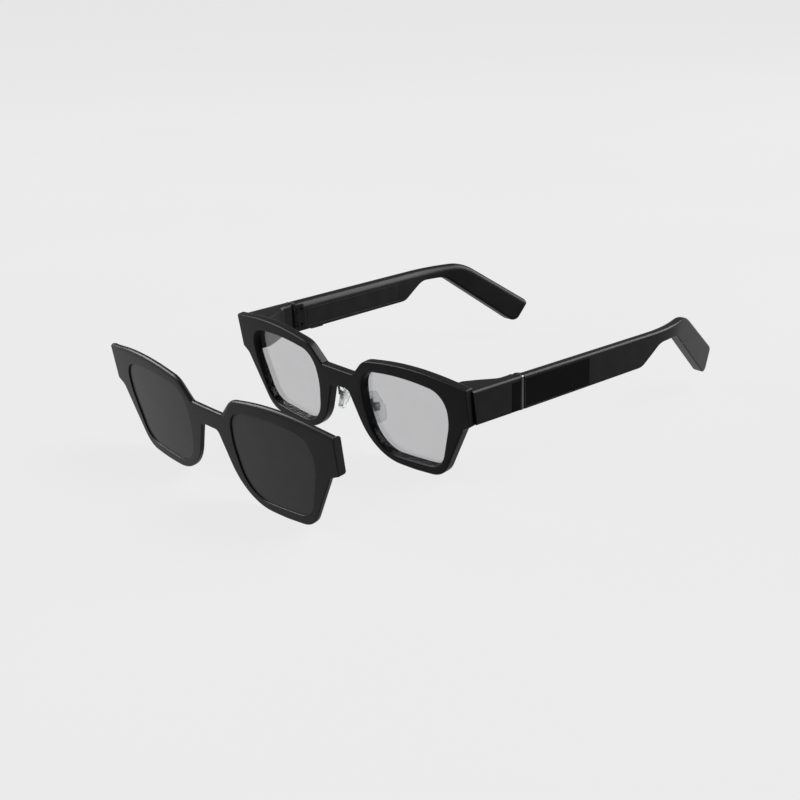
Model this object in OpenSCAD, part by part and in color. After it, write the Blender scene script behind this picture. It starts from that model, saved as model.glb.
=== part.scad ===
// Smart glasses: waveguide front, two folding temples, and a magnetic sun-lens clip-on.
// Millimetres. +X is the wearer's left, -Y is where the wearer looks, +Z is up.
// The face frame has y = 0 at the bridge's front and z = 0 at the height of the outer corners.

/* [Front] */
// Overall width of the front frame
face_w = 145; // [142:0.5:148]
// Depth of the front frame, front to back
rim_t = 4.2; // [4:0.1:4.8]
// Height of the brow's crown above the outer corners
brow_rise = 3; // [2.5:0.1:3.5]
// From the outer corners down to the bottom of the rims
rim_drop = 41.8; // [41.5:0.1:42.5]
// Height of the bridge
bridge_h = 7.9; // [7:0.1:8.5]
// Backward lean of the front, in degrees
tilt = 8; // [6:0.5:10]
// How far the outer corners sit behind the bridge
bow = 3.4; // [2.5:0.1:4]
// Depth of the lens seat behind the front surface
lens_seat = 3; // [2.6:0.1:3]
// Thickness of a display lens
lens_t = 0.9; // [0.7:0.1:0.9]

/* [Clip-on] */
// Distance of the detached clip-on in front of the glasses
clip_gap = 62.4; // [20:0.2:70]
// Thickness of the clip-on frame
clip_t = 1.8; // [1.6:0.1:2.2]
// Reach of its side tabs behind its front surface
clip_tab = 3.4; // [3:0.1:3.6]
// Seat of its lens behind its front surface
clip_seat = 0.6; // [0.4:0.1:0.8]

/* [Temples] */
// Outer face of the temples from the middle, at y = 0
side_x = 73.2; // [72.8:0.1:73.6]
// Outward splay of the temples, in degrees
splay = 1.43; // [1:0.1:2]
// Height of the temples in front of the ear
temple_h = 13.7; // [13:0.1:14.2]
// Thickness of the temples
temple_t = 5.5; // [5.4:0.1:6]
// Wall of the hollow shells
wall = 1.2; // [1:0.1:1.3]
// Where the ear bend starts to fall
ear_y = 136.6; // [134:0.2:140]
// Inward bend of the ear tip, in degrees
tip_in = 18.9; // [12:0.1:20]

/* [Hinges] */
// Joint face between endpiece and temple
joint_y = 32.3; // [32:0.1:33]
// Gap between the joint faces
joint_gap = 0.4; // [0.3:0.05:0.5]
// Radius of the temple's hinge barrel
barrel_r = 2.1; // [2:0.05:2.1]
// Radius of the hinge pin
pin_r = 0.6; // [0.5:0.05:0.7]
// Running clearance on the hinge pin
pin_fit = 0.04; // [0.02:0.01:0.08]

/* [Nose pads] */
// Height of a pad
pad_h = 13.5; // [11:0.5:14]
// Width of a pad
pad_w = 7; // [6:0.5:8]
// Thickness of a pad
pad_t = 2.2; // [1.8:0.1:2.4]
// Lean of a pad away from upright, in degrees
pad_lean = 20; // [15:1:24]
// Turn of a pad towards the face, in degrees
pad_turn = 27; // [20:1:32]
// Roll of a pad in its own plane, in degrees
pad_roll = 15; // [5:1:20]

/* [Button] */
// Length of the function button
button_l = 6.8; // [6:0.1:7.5]
// How far it stands out of the temple
button_out = 0.7; // [0.6:0.1:1.2]
// Travel of the button
button_travel = 0.5; // [0.3:0.05:0.5]

/* [Hidden] */

black = "#202124";
glossy = "#0c0c0e";
metal = "#b9bbbe";
dark_metal = "#4a4b4e";
clear = [0.9, 0.93, 0.95, 0.35];
smoke = "#3a3a3c";

arc_steps = 8;
fine = 96;
half_w = face_w / 2;
bow_r = (half_w * half_w + bow * bow) / (2 * bow);

// ---- outlines: a list of [x, y, corner radius], clockwise ----

function unit(v) = v / norm(v);
function turn_of(a, b, c) = cross(unit(b - a), unit(c - b));
function left_of(v) = [-v[1], v[0]];
function xy(p) = [p[0], p[1]];

// The arc that rounds corner b between a and c
function corner(a, b, c, r) =
    r <= 0 ? [b] :
    let (u = unit(a - b), w = unit(c - b), half = acos(u * w) / 2)
    let (mid = b + unit(u + w) * r / sin(half))
    let (from = b + u * r / tan(half) - mid, sweep = 180 - 2 * half)
    let (way = turn_of(a, b, c) < 0 ? -1 : 1)
    [for (k = [0:arc_steps])
        let (t = way * sweep * k / arc_steps)
        mid + [from[0] * cos(t) - from[1] * sin(t), from[0] * sin(t) + from[1] * cos(t)]];

function rounded(pts) = let (n = len(pts))
    [for (i = [0:n - 1])
        each corner(xy(pts[(i + n - 1) % n]), xy(pts[i]), xy(pts[(i + 1) % n]), pts[i][2])];

// The same outline moved outwards by d, or inwards where d is negative
function grown(pts, d) = let (n = len(pts))
    [for (i = [0:n - 1])
        let (a = xy(pts[(i + n - 1) % n]), b = xy(pts[i]), c = xy(pts[(i + 1) % n]))
        let (n1 = left_of(unit(b - a)), n2 = left_of(unit(c - b)))
        let (v = b + (n1 + n2) * d / (1 + n1 * n2))
        let (r = pts[i][2] + (turn_of(a, b, c) < 0 ? d : -d))
        [v[0], v[1], pts[i][2] > 0 ? max(r, 0) : 0]];

function flipped(pts) = [for (i = [len(pts) - 1:-1:0]) [-pts[i][0], pts[i][1], pts[i][2]]];

// Right half of the front's outline, from the top of the bridge round to its underside
bridge_top = -7.6;
function half_outline(w) = [
    [9.7, bridge_top, 1.2],
    [17.4, 0.2, 11],
    [44, brow_rise + 1.15, 130],
    [w, 0.2, 0.8],
    [w - 0.3, -14.9, 0.8],
    [68.7, -16.8, 3.5],
    [55.2, -rim_drop + 1.1, 11],
    [40, -rim_drop, 60],
    [16.3, -rim_drop, 23],
    [5.3, bridge_top - bridge_h, 2.5]
];
function front_outline(w) = concat(half_outline(w), flipped(half_outline(w)));

// Edge of a lens opening on the front surface, and the opening at its narrowest
opening_edge = [
    [15.2, -3.9, 10],
    [40, -0.9, 110],
    [61.5, -3.7, 9.5],
    [62.3, -16, 22],
    [55.3, -37.8, 10.5],
    [38, -38.8, 30],
    [18, -39.6, 15],
    [13.4, -17.5, 26]
];
bore_in = 0.7;
opening = grown(opening_edge, -bore_in);

// Side view of a temple, [y, z, radius]
temple_side = [
    [joint_y + joint_gap, 0, 0],
    [ear_y, 0, 18],
    [ear_y + 34.5, -24.3, 2],
    [ear_y + 27.4, -35.2, 3.5],
    [ear_y - 10.8, -5.5, 10],
    [ear_y - 24.1, -5.3, 9],
    [ear_y - 35.6, -13.2, 7],
    [joint_y + joint_gap, -temple_h, 0]
];

// Plan view of a temple, [outwards from its outer face, y, radius]
bend_y = ear_y - 17.9;
tip_end_y = ear_y + 40;
tip_shift = (tip_end_y - bend_y) * tan(tip_in);
temple_plan = [
    [0, joint_y + joint_gap, 0],
    [-temple_t, joint_y + joint_gap, 0],
    [-temple_t, bend_y - temple_t * tan(tip_in / 2), 66.5],
    [-tip_shift - temple_t / cos(tip_in), tip_end_y, 0],
    [-tip_shift, tip_end_y, 0],
    [0, bend_y, 72]
];

// Plan view of an endpiece, in the same way
endpiece_plan = [
    [-13.4, 2, 0],
    [-13.2, 12, 3],
    [-10.2, 17.8, 3],
    [-temple_t, 25.5, 4],
    [-temple_t, joint_y, 0],
    [0, joint_y, 0],
    [0, 2, 0]
];

// ---- placing: the part's origin is the middle of its box, at the bottom ----

function face_sag(x) = bow_r - sqrt(bow_r * bow_r - x * x);
function face_y(p) = -p[1] * sin(tilt) + face_sag(p[0]) * cos(tilt);
function face_z(p) = p[1] * cos(tilt) + face_sag(p[0]) * sin(tilt);
clip_w = half_w + 1.2;
clip_points = rounded(front_outline(clip_w));
front_end = min([for (p = clip_points) face_y(p)]) - clip_gap;
tip_points = rounded(temple_side);
rear_end = max([for (p = tip_points) p[0]]);
low_end = min([for (p = clip_points) face_z(p)]);
// The splay and the inward bend pull the tip a little forward
tip_pull = 0.14;

module placed() {
    translate([0, -(front_end + rear_end - tip_pull) / 2, -low_end]) children();
}

// Local x, y, z are across, up the leaning front, and forwards out of it
module on_front() {
    rotate([90 + tilt, 0, 0]) children();
}

// Local x is outwards from a temple's outer face, at the wearer's left
module on_side() {
    translate([side_x, 0, 0]) rotate([0, 0, -splay]) children();
}

module other_side() {
    mirror([1, 0, 0]) children();
}

module both_sides() {
    children();
    other_side() children();
}

// Everything behind the bowed surface that is n in front of the frame's face
module behind_bow(n) {
    translate([0, -60, n - bow_r])
        rotate([-90, 0, 0]) cylinder(h = 120, r = bow_r, $fn = 720);
}

// A bowed plate: an outline, its thickness, and how deep its front surface lies
module face_plate(pts, t, depth) {
    on_front() intersection() {
        translate([0, 0, -25]) linear_extrude(50) polygon(pts);
        difference() {
            behind_bow(-depth);
            behind_bow(-depth - t);
        }
    }
}

// A block given by its lowest and highest corner
module block(low, high) {
    translate(low) cube(high - low);
}

// A round rod between two points
module rod(a, b, r) {
    v = b - a;
    translate(a) rotate([0, acos(v[2] / norm(v)), atan2(v[1], v[0])])
        cylinder(h = norm(v), r = r, $fn = 32);
}

// ---- front ----

fit = 0.05;
cover_t = 0.8;
cover_in = 1.65;
cover_w = 1.5;
magnet_r = 1.2;
magnet_t = 1.1;
magnet_spots = [[67, -7.5], [6.5, -11.6]];

// The band that follows the brow from one endpiece to the other
module brow_band(grow, t, depth) {
    outline = front_outline(half_w);
    difference() {
        intersection() {
            face_plate(rounded(grown(outline, grow - cover_in)), t, depth);
            on_front() block([-half_w, -11.3 - grow, -30], [half_w, 10, 30]);
        }
        face_plate(rounded(grown(outline, -cover_in - cover_w - grow)), t + 2, depth - 1);
    }
}

// Discs set into the front, m deep
module magnet_set(r, t, depth) {
    both_sides() on_front() for (p = magnet_spots)
        translate([p[0], p[1], -face_sag(p[0]) - depth - t]) cylinder(h = t, r = r, $fn = fine);
}

module front_frame() color(black) placed() difference() {
    face_plate(rounded(front_outline(half_w)), rim_t, 0);
    both_sides() {
        on_front() translate([0, 0, -25]) linear_extrude(50) polygon(rounded(opening));
        face_plate(rounded(grown(opening, 0.85)), rim_t, lens_seat);
        arm_root(0.01);
    }
    brow_band(fit, cover_t + 1.6, rim_t - cover_t - 0.6);
    magnet_set(magnet_r, magnet_t, 0.6);
}

module brow_cover() color(black) placed() brow_band(0, cover_t, rim_t - cover_t);

module brow_flex() color("#b5651d") placed() brow_band(-0.3, 0.3, rim_t - cover_t - 0.5);

module lens_seals() color("#111111") placed() both_sides() difference() {
    face_plate(rounded(grown(opening, 0.8)), rim_t - lens_seat - lens_t, lens_seat + lens_t);
    on_front() translate([0, 0, -25]) linear_extrude(50) polygon(rounded(grown(opening, 0.05)));
}

module front_magnets() color(metal) placed() magnet_set(magnet_r, magnet_t, 0.6);

module lens() face_plate(rounded(grown(opening, 0.8)), lens_t, lens_seat);
module left_lens() color(clear) placed() lens();
module right_lens() color(clear) placed() other_side() lens();

// ---- endpieces ----

cover_gap = 0.05;
band_y = [26, 30.7];
panel_t = 0.5;
panel_top = -1.5;
strip_y = [31.3, joint_y];
strip_t = 0.45;
cave_top = -1.4;
cave_low = -12.3;
axis_u = -barrel_r - 1.3;
axis_y = joint_y + 0.2;

module prism(pts, z0, z1) {
    translate([0, 0, z0]) linear_extrude(z1 - z0) polygon(pts);
}

module endpiece_blank() {
    difference() {
        on_side() prism(rounded(endpiece_plan), -temple_h, 0);
        on_front() front_filler();
    }
}

// All the space in front of the frame's rear face
module front_filler() {
    difference() {
        block([40, -30, -30], [90, 20, 30]);
        behind_bow(-rim_t);
    }
}

module endpiece_cave() {
    on_side() intersection() {
        prism(rounded(grown(endpiece_plan, -wall)), cave_low, cave_top);
        block([-20, 2, -20], [0, 30, 5]);
    }
}

module endpiece() difference() {
    endpiece_blank();
    endpiece_cave();
    on_side() {
        block([-20, 2, cave_low], [-temple_t + 1, 27, cave_top]);
        block([-panel_t, band_y[0], -temple_h - 1], [1, band_y[1], panel_top]);
        block([-strip_t, strip_y[0], -temple_h - 1], [1, strip_y[1] + 1, 1]);
        block([-temple_t - 1, strip_y[0], -strip_t], [1, strip_y[1] + 1, 1]);
        block([-20, 30.2, -temple_h - 1], [axis_u, joint_y + 1, 1]);
        translate([axis_u, axis_y, -temple_h - 1]) cylinder(h = 20, r = barrel_r + 0.3, $fn = fine);
        block([axis_u - 0.55, 29, -10.9], [axis_u + 0.55, axis_y, -2.8]);
    }
}
module left_endpiece() color(black) placed() endpiece();
module right_endpiece() color(black) placed() other_side() endpiece();

module endpiece_cover() intersection() {
    difference() {
        endpiece_blank();
        on_side() prism(rounded(grown(endpiece_plan, -0.95)), -20, 5);
    }
    on_side() block([-20, 2, cave_low + cover_gap], [-temple_t + 0.95, 27 - cover_gap, cave_top - cover_gap]);
}
module left_endpiece_cover() color(black) placed() endpiece_cover();
module right_endpiece_cover() color(black) placed() other_side() endpiece_cover();

module gloss_band() on_side() block([-panel_t, band_y[0], -temple_h], [0, band_y[1], panel_top]);
module left_gloss_band() color(glossy) placed() gloss_band();
module right_gloss_band() color(glossy) placed() other_side() gloss_band();

module trim_strip() on_side() difference() {
    union() {
        block([-strip_t, strip_y[0], -temple_h], [0, strip_y[1], 0]);
        block([-temple_t + 1, strip_y[0], -strip_t], [0, strip_y[1], 0]);
    }
    translate([axis_u, axis_y, -temple_h]) cylinder(h = 20, r = barrel_r + 0.3, $fn = fine);
    block([-20, 30.2, -20], [axis_u, joint_y + 1, 1]);
}
module left_trim_strip() color(metal) placed() trim_strip();
module right_trim_strip() color(metal) placed() other_side() trim_strip();

// Projector in the endpiece: a body, a barrel and its driver board
module light_engine() on_side() {
    block([-9.3, 11.8, -11], [-3.6, 16, -3.2]);
    translate([-7.2, 11.9, -7]) rotate([90, 0, 0]) cylinder(h = 1.6, r = 2.6, $fn = fine);
    block([-3.4, 11, -11.4], [-2.6, 23.5, -2.4]);
    block([-3.6, 13, -9], [-3.4, 16, -5]);
}
module left_light_engine() color("#5b6068") placed() light_engine();
module right_light_engine() color("#5b6068") placed() other_side() light_engine();

module microphones() color(metal) placed() both_sides() on_side()
    block([-2.6, 19, -5.8], [-1.3, 22, -3.6]);

// ---- hinges ----

knuckles_front = [[-4.9, -2.9], [-10.8, -8.8]];
knuckle_rear = [-8.6, -5.1];
leaf_half = 0.5;
screw_z = [-3, -10.4];
screw_y = 35.5;
plate_y = [33.2, 37];

module knuckle(z, bore) {
    translate([axis_u, axis_y, z[0]]) difference() {
        cylinder(h = z[1] - z[0], r = barrel_r - 0.15, $fn = fine);
        translate([0, 0, -1]) cylinder(h = z[1] - z[0] + 2, r = bore, $fn = fine);
    }
}

module pin_hole(r) {
    translate([axis_u, axis_y, -20]) cylinder(h = 30, r = r, $fn = fine);
}

module front_hinge() on_side() {
    for (z = knuckles_front) {
        knuckle(z, pin_r);
        difference() {
            block([axis_u - leaf_half, 29.5, z[0]], [axis_u + leaf_half, axis_y, z[1]]);
            pin_hole(pin_r + 0.4);
        }
    }
    block([axis_u - leaf_half, 24.2, -10.8], [axis_u + leaf_half, 29.6, -2.9]);
}
module left_front_hinge() color(dark_metal) placed() front_hinge();
module right_front_hinge() color(dark_metal) placed() other_side() front_hinge();

module hinge_pin() on_side() {
    translate([axis_u, axis_y, -11]) cylinder(h = 8.2, r = pin_r, $fn = fine);
    translate([axis_u, axis_y, -2.85]) cylinder(h = 0.35, r = 1.1, $fn = fine);
}
module left_hinge_pin() color(metal) placed() hinge_pin();
module right_hinge_pin() color(metal) placed() other_side() hinge_pin();

// The temple's leaf: one knuckle, and a plate with two screws
module rear_hinge() on_side() difference() {
    union() {
        knuckle(knuckle_rear, pin_r + pin_fit);
        difference() {
            block([-temple_t, axis_y, knuckle_rear[0]], [-temple_t + 1.1, plate_y[0] + 0.2, knuckle_rear[1]]);
            pin_hole(pin_r + 0.5);
        }
        block([-temple_t, plate_y[0], -12.4], [-temple_t + 1.1, plate_y[1], -1.2]);
    }
    for (z = screw_z)
        translate([-temple_t - 1, screw_y, z]) rotate([0, 90, 0]) cylinder(h = 3, r = 0.85, $fn = fine);
    for (z = knuckles_front)
        translate([axis_u, axis_y, z[0] - 0.15]) cylinder(h = z[1] - z[0] + 0.3, r = barrel_r + 0.15, $fn = fine);
}
module left_rear_hinge() color(dark_metal) placed() rear_hinge();
module right_rear_hinge() color(dark_metal) placed() other_side() rear_hinge();

module hinge_screws() on_side() for (z = screw_z)
    translate([-temple_t + 0.1, screw_y, z]) rotate([0, 90, 0]) difference() {
        union() {
            cylinder(h = 0.9, r = 0.85, $fn = fine);
            cylinder(h = 2.4, r = 0.5, $fn = fine);
        }
        translate([0, 0, -0.1]) cylinder(h = 0.5, r = 0.4, $fn = 6);
    }
module left_hinge_screws() color(metal) placed() hinge_screws();
module right_hinge_screws() color(metal) placed() other_side() hinge_screws();

// ---- temples ----

cave_y = [39, 98];
panel_y = [33.5, 68.7];
slot_y = [88, 95.5];
slot_w = 2;

module temple_blank() on_side() {
    intersection() {
        translate([-60, 0, 0]) rotate([90, 0, 90]) linear_extrude(80) polygon(rounded(temple_side));
        prism(rounded(temple_plan), -60, 10);
    }
    for (z = [[-temple_h, -11.3], [-2.4, -1]])
        translate([axis_u, axis_y, z[0]]) cylinder(h = z[1] - z[0], r = barrel_r, $fn = fine);
}

// The shell, hollow from its inner side, with room for the hinge and the panel
module temple_shell() difference() {
    temple_blank();
    on_side() {
        block([-20, cave_y[0], cave_low], [-wall, cave_y[1], cave_top]);
        block([-20, plate_y[0] - 0.1, -12.5], [-temple_t + 1.15, plate_y[1] + 0.1, -1.1]);
        translate([axis_u, axis_y, -11.3]) cylinder(h = 8.9, r = barrel_r + 0.35, $fn = fine);
        block([-panel_t, panel_y[0], -temple_h - 1], [1, panel_y[1], panel_top]);
        translate([-temple_t, screw_y, 0]) for (z = screw_z)
            translate([0, 0, z]) rotate([0, 90, 0]) cylinder(h = 2.6, r = 0.5, $fn = fine);
        block([-3.8, slot_y[0], -temple_h - 1], [-3.8 + slot_w, slot_y[1], cave_low + 1]);
    }
}
module left_temple_shell() color(black) placed() temple_shell();
module right_temple_shell() color(black) placed() other_side() difference() {
    temple_shell();
    on_side() block(
        [-3.9 - button_gap, button_y - button_gap, -temple_h - 1],
        [-1.5 + button_gap, button_y + button_l + button_gap, cave_low + 1]);
}

module temple_cover() on_side() block(
    [-temple_t, cave_y[0] + cover_gap, cave_low + cover_gap],
    [-temple_t + 1, cave_y[1] - cover_gap, cave_top - cover_gap]);
module left_temple_cover() color(black) placed() difference() {
    temple_cover();
    on_side() for (y = contact_y)
        translate([-wall, y, -7.2]) rotate([0, -90, 0]) cylinder(h = 9, r = 1.3, $fn = fine);
}
module right_temple_cover() color(black) placed() other_side() temple_cover();

module touch_panel() on_side()
    block([-panel_t, panel_y[0], -temple_h], [0, panel_y[1], panel_top]);
module left_touch_panel() color(glossy) placed() touch_panel();
module right_touch_panel() color(glossy) placed() other_side() touch_panel();

module circuit_board() on_side() {
    block([-2.2, 40, -9.4], [-1.6, 60, -2]);
    block([-3.3, 43, -8.2], [-2.2, 48, -3.2]);
    block([-3.1, 51, -7.6], [-2.2, 57, -4]);
}
module left_circuit_board() color("#1f5b3a") placed() circuit_board();
module right_circuit_board() color("#1f5b3a") placed() other_side() circuit_board();

module battery() on_side() {
    block([-4.3, 62, -11.8], [-1.4, 84, -2]);
    block([-3.4, 60.6, -9], [-2.4, 62, -5]);
}
module left_battery() color("#8d9197") placed() battery();
module right_battery() color("#8d9197") placed() other_side() battery();

module speaker() on_side() {
    block([-4.2, 86.6, -11.4], [-1.6, 97, -3]);
    translate([-2.9, 91.8, -7.2]) rotate([0, 90, 0]) cylinder(h = 1.5, r = 3, $fn = fine);
}
module left_speaker() color("#3b3d41") placed() speaker();
module right_speaker() color("#3b3d41") placed() other_side() speaker();

module speaker_mesh() on_side() difference() {
    block([-3.75, slot_y[0] + cover_gap, -temple_h + 0.3], [-3.85 + slot_w, slot_y[1] - cover_gap, -temple_h + 0.8]);
    for (k = [0:5])
        translate([-2.8, slot_y[0] + 1.25 + k, -temple_h]) cylinder(h = 3, r = 0.35, $fn = 24);
}
module left_speaker_mesh() color(dark_metal) placed() speaker_mesh();
module right_speaker_mesh() color(dark_metal) placed() other_side() speaker_mesh();

// ---- button on the wearer's right temple, and charging contacts on the left one ----

contact_y = [50, 55];
button_y = 42.3;
button_gap = 0.15;

module function_button() color(black) placed() other_side() on_side() {
    block([-3.9, button_y, -temple_h - button_out], [-1.5, button_y + button_l, -12]);
    block([-4.2, button_y - 0.5, -12.2], [-1.3, button_y + button_l + 0.5, -11.7]);
}

module button_switch() color(metal) placed() other_side() on_side() {
    block([-3.9, button_y + 1, -11.1], [-1.6, button_y + 5.8, -9.6]);
}

module charge_contacts() color("#d4af5a") placed() on_side() for (y = contact_y)
    translate([-temple_t + 1.2, y, -7.2]) rotate([0, -90, 0]) cylinder(h = 1.2, r = 1.25, $fn = fine);

// ---- nose pads ----

pad_at = [10.2, 13.4, -23.9];
pivot_out = 2;

// Local x points away from the nose, y across the pad, z up it
module on_pad() {
    translate(pad_at) rotate([0, 0, -pad_turn]) rotate([0, -pad_lean, 0]) children();
}

pad_outline = [
    [-0.5 * pad_w, 0.1 * pad_h, 0.45 * pad_w],
    [-0.2 * pad_w, 0.5 * pad_h, 0.2 * pad_w],
    [0.3 * pad_w, 0.5 * pad_h, 0.3 * pad_w],
    [0.5 * pad_w, -0.1 * pad_h, 0.5 * pad_w],
    [0.3 * pad_w, -0.5 * pad_h, 0.3 * pad_w],
    [-0.4 * pad_w, -0.5 * pad_h, 0.3 * pad_w]
];

module nose_pad() on_pad() difference() {
    rotate([pad_roll, 0, 0]) translate([-pad_t / 2, 0, 0]) rotate([90, 0, 90])
        linear_extrude(pad_t) polygon(rounded(pad_outline));
    block([0, -1.3, -1.8], [pad_t, 1.3, 1.8]);
}
module left_nose_pad() color(clear) placed() nose_pad();
module right_nose_pad() color(clear) placed() other_side() nose_pad();

module pad_core() on_pad() difference() {
    union() {
        block([0.02, -1.25, -1.75], [0.8, 1.25, 1.75]);
        block([0.6, -0.8, -0.8], [pivot_out, 0.8, 0.8]);
        translate([pivot_out, -0.8, 0]) rotate([-90, 0, 0]) cylinder(h = 1.6, r = 0.9, $fn = fine);
    }
    translate([pivot_out, -3, 0]) rotate([-90, 0, 0]) cylinder(h = 6, r = 0.44, $fn = fine);
}
module left_pad_core() color(metal) placed() pad_core();
module right_pad_core() color(metal) placed() other_side() pad_core();

// Where the pad's pivot pin ends, in the face frame
pivot = pad_at + [
    pivot_out * cos(pad_lean) * cos(pad_turn),
    -pivot_out * cos(pad_lean) * sin(pad_turn),
    pivot_out * sin(pad_lean)
];
pivot_dir = [sin(pad_turn), cos(pad_turn), 0];
arm_in = [10.7, 5, -19.9];
arm_knee = [10.9, 10.4, -19.2];

module arm_root(grow) {
    rod(arm_in, arm_knee, 0.5 + grow);
}

module nose_arm() {
    foot = pivot - pivot_dir * 1.7;
    rod(arm_in, arm_knee, 0.5);
    translate(arm_knee) sphere(r = 0.6, $fn = 32);
    rod(arm_knee, foot, 0.5);
    translate(foot) sphere(r = 0.6, $fn = 32);
    rod(foot, pivot + pivot_dir * 1.3, 0.4);
}
module left_nose_arm() color(metal) placed() nose_arm();
module right_nose_arm() color(metal) placed() other_side() nose_arm();

// ---- clip-on ----

module at_clip() {
    placed() translate([0, -clip_gap, 0]) children();
}

module clip_tabs() {
    both_sides() on_front()
        block([half_w + 0.4, -14.8, -bow - clip_tab], [clip_w, -0.3, -bow - 0.4]);
}

module clip_frame() color(black) at_clip() difference() {
    union() {
        face_plate(clip_points, clip_t, 0);
        clip_tabs();
    }
    both_sides() {
        on_front() translate([0, 0, -25]) linear_extrude(50) polygon(rounded(opening));
        face_plate(rounded(grown(opening, 0.65)), clip_t, clip_seat);
    }
    magnet_set(magnet_r, 3, clip_t - magnet_t);
}

module clip_lens() face_plate(rounded(grown(opening, 0.6)), clip_t - clip_seat - 0.1, clip_seat);
module left_clip_lens() color(smoke) at_clip() clip_lens();
module right_clip_lens() color(smoke) at_clip() other_side() clip_lens();

module clip_magnets() color(metal) at_clip() magnet_set(magnet_r, magnet_t - 0.05, clip_t - magnet_t);

front_frame();
brow_cover();
brow_flex();
lens_seals();
front_magnets();
microphones();
left_lens();
right_lens();
left_endpiece();
right_endpiece();
left_endpiece_cover();
right_endpiece_cover();
left_gloss_band();
right_gloss_band();
left_trim_strip();
right_trim_strip();
left_light_engine();
right_light_engine();
left_front_hinge();
right_front_hinge();
left_hinge_pin();
right_hinge_pin();
left_nose_arm();
right_nose_arm();
left_nose_pad();
right_nose_pad();
left_pad_core();
right_pad_core();
left_temple_shell();
right_temple_shell();
left_temple_cover();
right_temple_cover();
left_touch_panel();
right_touch_panel();
left_rear_hinge();
right_rear_hinge();
left_hinge_screws();
right_hinge_screws();
left_circuit_board();
right_circuit_board();
left_battery();
right_battery();
left_speaker();
right_speaker();
left_speaker_mesh();
right_speaker_mesh();
function_button();
button_switch();
charge_contacts();
clip_frame();
left_clip_lens();
right_clip_lens();
clip_magnets();
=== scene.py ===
"""Smart glasses: a full-rim front with display lenses, two temples that fold, nose pads and a sun clip-on."""

import math

import bmesh
import bpy
from mathutils import Matrix, Vector
from mathutils.geometry import delaunay_2d_cdt


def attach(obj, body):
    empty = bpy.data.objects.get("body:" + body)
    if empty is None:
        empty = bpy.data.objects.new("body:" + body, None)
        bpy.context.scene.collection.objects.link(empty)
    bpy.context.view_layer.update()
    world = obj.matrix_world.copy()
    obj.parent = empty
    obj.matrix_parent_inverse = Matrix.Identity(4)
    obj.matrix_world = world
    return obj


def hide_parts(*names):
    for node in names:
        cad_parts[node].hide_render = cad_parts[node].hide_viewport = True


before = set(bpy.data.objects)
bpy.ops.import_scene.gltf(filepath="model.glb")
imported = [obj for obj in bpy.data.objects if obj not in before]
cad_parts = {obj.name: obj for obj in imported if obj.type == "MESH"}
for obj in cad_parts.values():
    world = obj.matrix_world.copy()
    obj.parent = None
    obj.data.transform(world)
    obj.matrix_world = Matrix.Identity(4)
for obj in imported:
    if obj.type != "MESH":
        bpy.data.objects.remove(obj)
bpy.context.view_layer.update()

# Shapes are in millimetres in the face frame: y = 0 at the bridge's front, z = 0 at the outer top corners
MM = 0.001
FACE_ORIGIN = Vector((0.0, -54.0057, 41.3034))
SIDES = (("left", 1), ("right", -1))

# ---- sizes, the same as the CAD part's ----

# Half the width of the front and of the clip-on
HALF_W = 72.5
CLIP_W = 73.7
# Height of the outer top and bottom of the upright side edge, and how far that edge leans in over its height
SIDE_TOP = 0.2
SIDE_LOW = -14.9
SIDE_IN = 0.3
# Thickness of the front, and how far it reaches above and below the outer corners
RIM_T = 4.2
BROW_RISE = 3.0
RIM_DROP = 41.8
# Top and height of the bridge
BRIDGE_TOP = -7.6
BRIDGE_H = 7.9
# The front leans by TILT, and its ends lie BOW behind its middle
TILT = math.radians(8)
BOW = 3.4
BOW_R = (HALF_W**2 + BOW**2) / (2 * BOW)
# Depth of the lenses in the front, their thickness, and how far the bore lies inside the opening's front edge
LENS_SEAT = 3.0
LENS_T = 0.9
BORE_IN = 0.7
# Distance of the clip-on from the front, its thickness, the depth of its lenses and the length of its tabs
CLIP_GAP = 62.4
CLIP_T = 1.8
CLIP_SEAT = 0.6
SUN_LENS_T = 1.1
CLIP_TAB = 3.4
# Outer face of the temples at the front, how far they open, and their height and thickness
SIDE_X = 73.2
SPLAY = math.radians(1.43)
TEMPLE_H = 13.7
TEMPLE_T = 5.5
# Where the temple turns down behind the ear, and where and how far it turns inwards
EAR_Y = 136.6
BEND_Y = EAR_Y - 17.9
TIP_IN = math.radians(18.9)
# Radius of that turn on the outer and on the inner face
BEND_OUTER_R = 72
BEND_INNER_R = 66.5
BEND_START = BEND_Y - BEND_OUTER_R * math.tan(TIP_IN / 2)
# The joint between endpiece and temple, and its gap
JOINT_Y = 32.3
JOINT_GAP = 0.4
# The hinge pin, measured outwards from the temple's outer face and back from the bridge
HINGE_U = -3.4
HINGE_Y = 32.5
# Depths, from the top, of the upper and lower end of the room for the hinge's knuckles, and its radius
KNUCKLES_TOP = 2.4
KNUCKLES_LOW = 11.3
KNUCKLE_ROOM_R = 2.45


# ---- outlines: clockwise lists of (x, y, corner radius) ----

def half_outline(w):
    return [
        (9.7, BRIDGE_TOP, 1.2),
        (17.4, 0.2, 11),
        (44, BROW_RISE + 1.15, 130),
        (w, SIDE_TOP, 0.8),
        (w - SIDE_IN, SIDE_LOW, 0.8),
        (68.7, -16.8, 3.5),
        (55.2, -RIM_DROP + 1.1, 11),
        (40, -RIM_DROP, 60),
        (16.3, -RIM_DROP, 23),
        (5.3, BRIDGE_TOP - BRIDGE_H, 2.5),
    ]


def flipped(pts):
    return [(-x, y, r) for x, y, r in reversed(pts)]


def front_outline(w):
    return half_outline(w) + flipped(half_outline(w))


# Edge of a lens opening on the front surface
OPENING_EDGE = [
    (15.2, -3.9, 10),
    (40, -0.9, 110),
    (61.5, -3.7, 9.5),
    (62.3, -16, 22),
    (55.3, -37.8, 10.5),
    (38, -38.8, 30),
    (18, -39.6, 15),
    (13.4, -17.5, 26),
]

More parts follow.
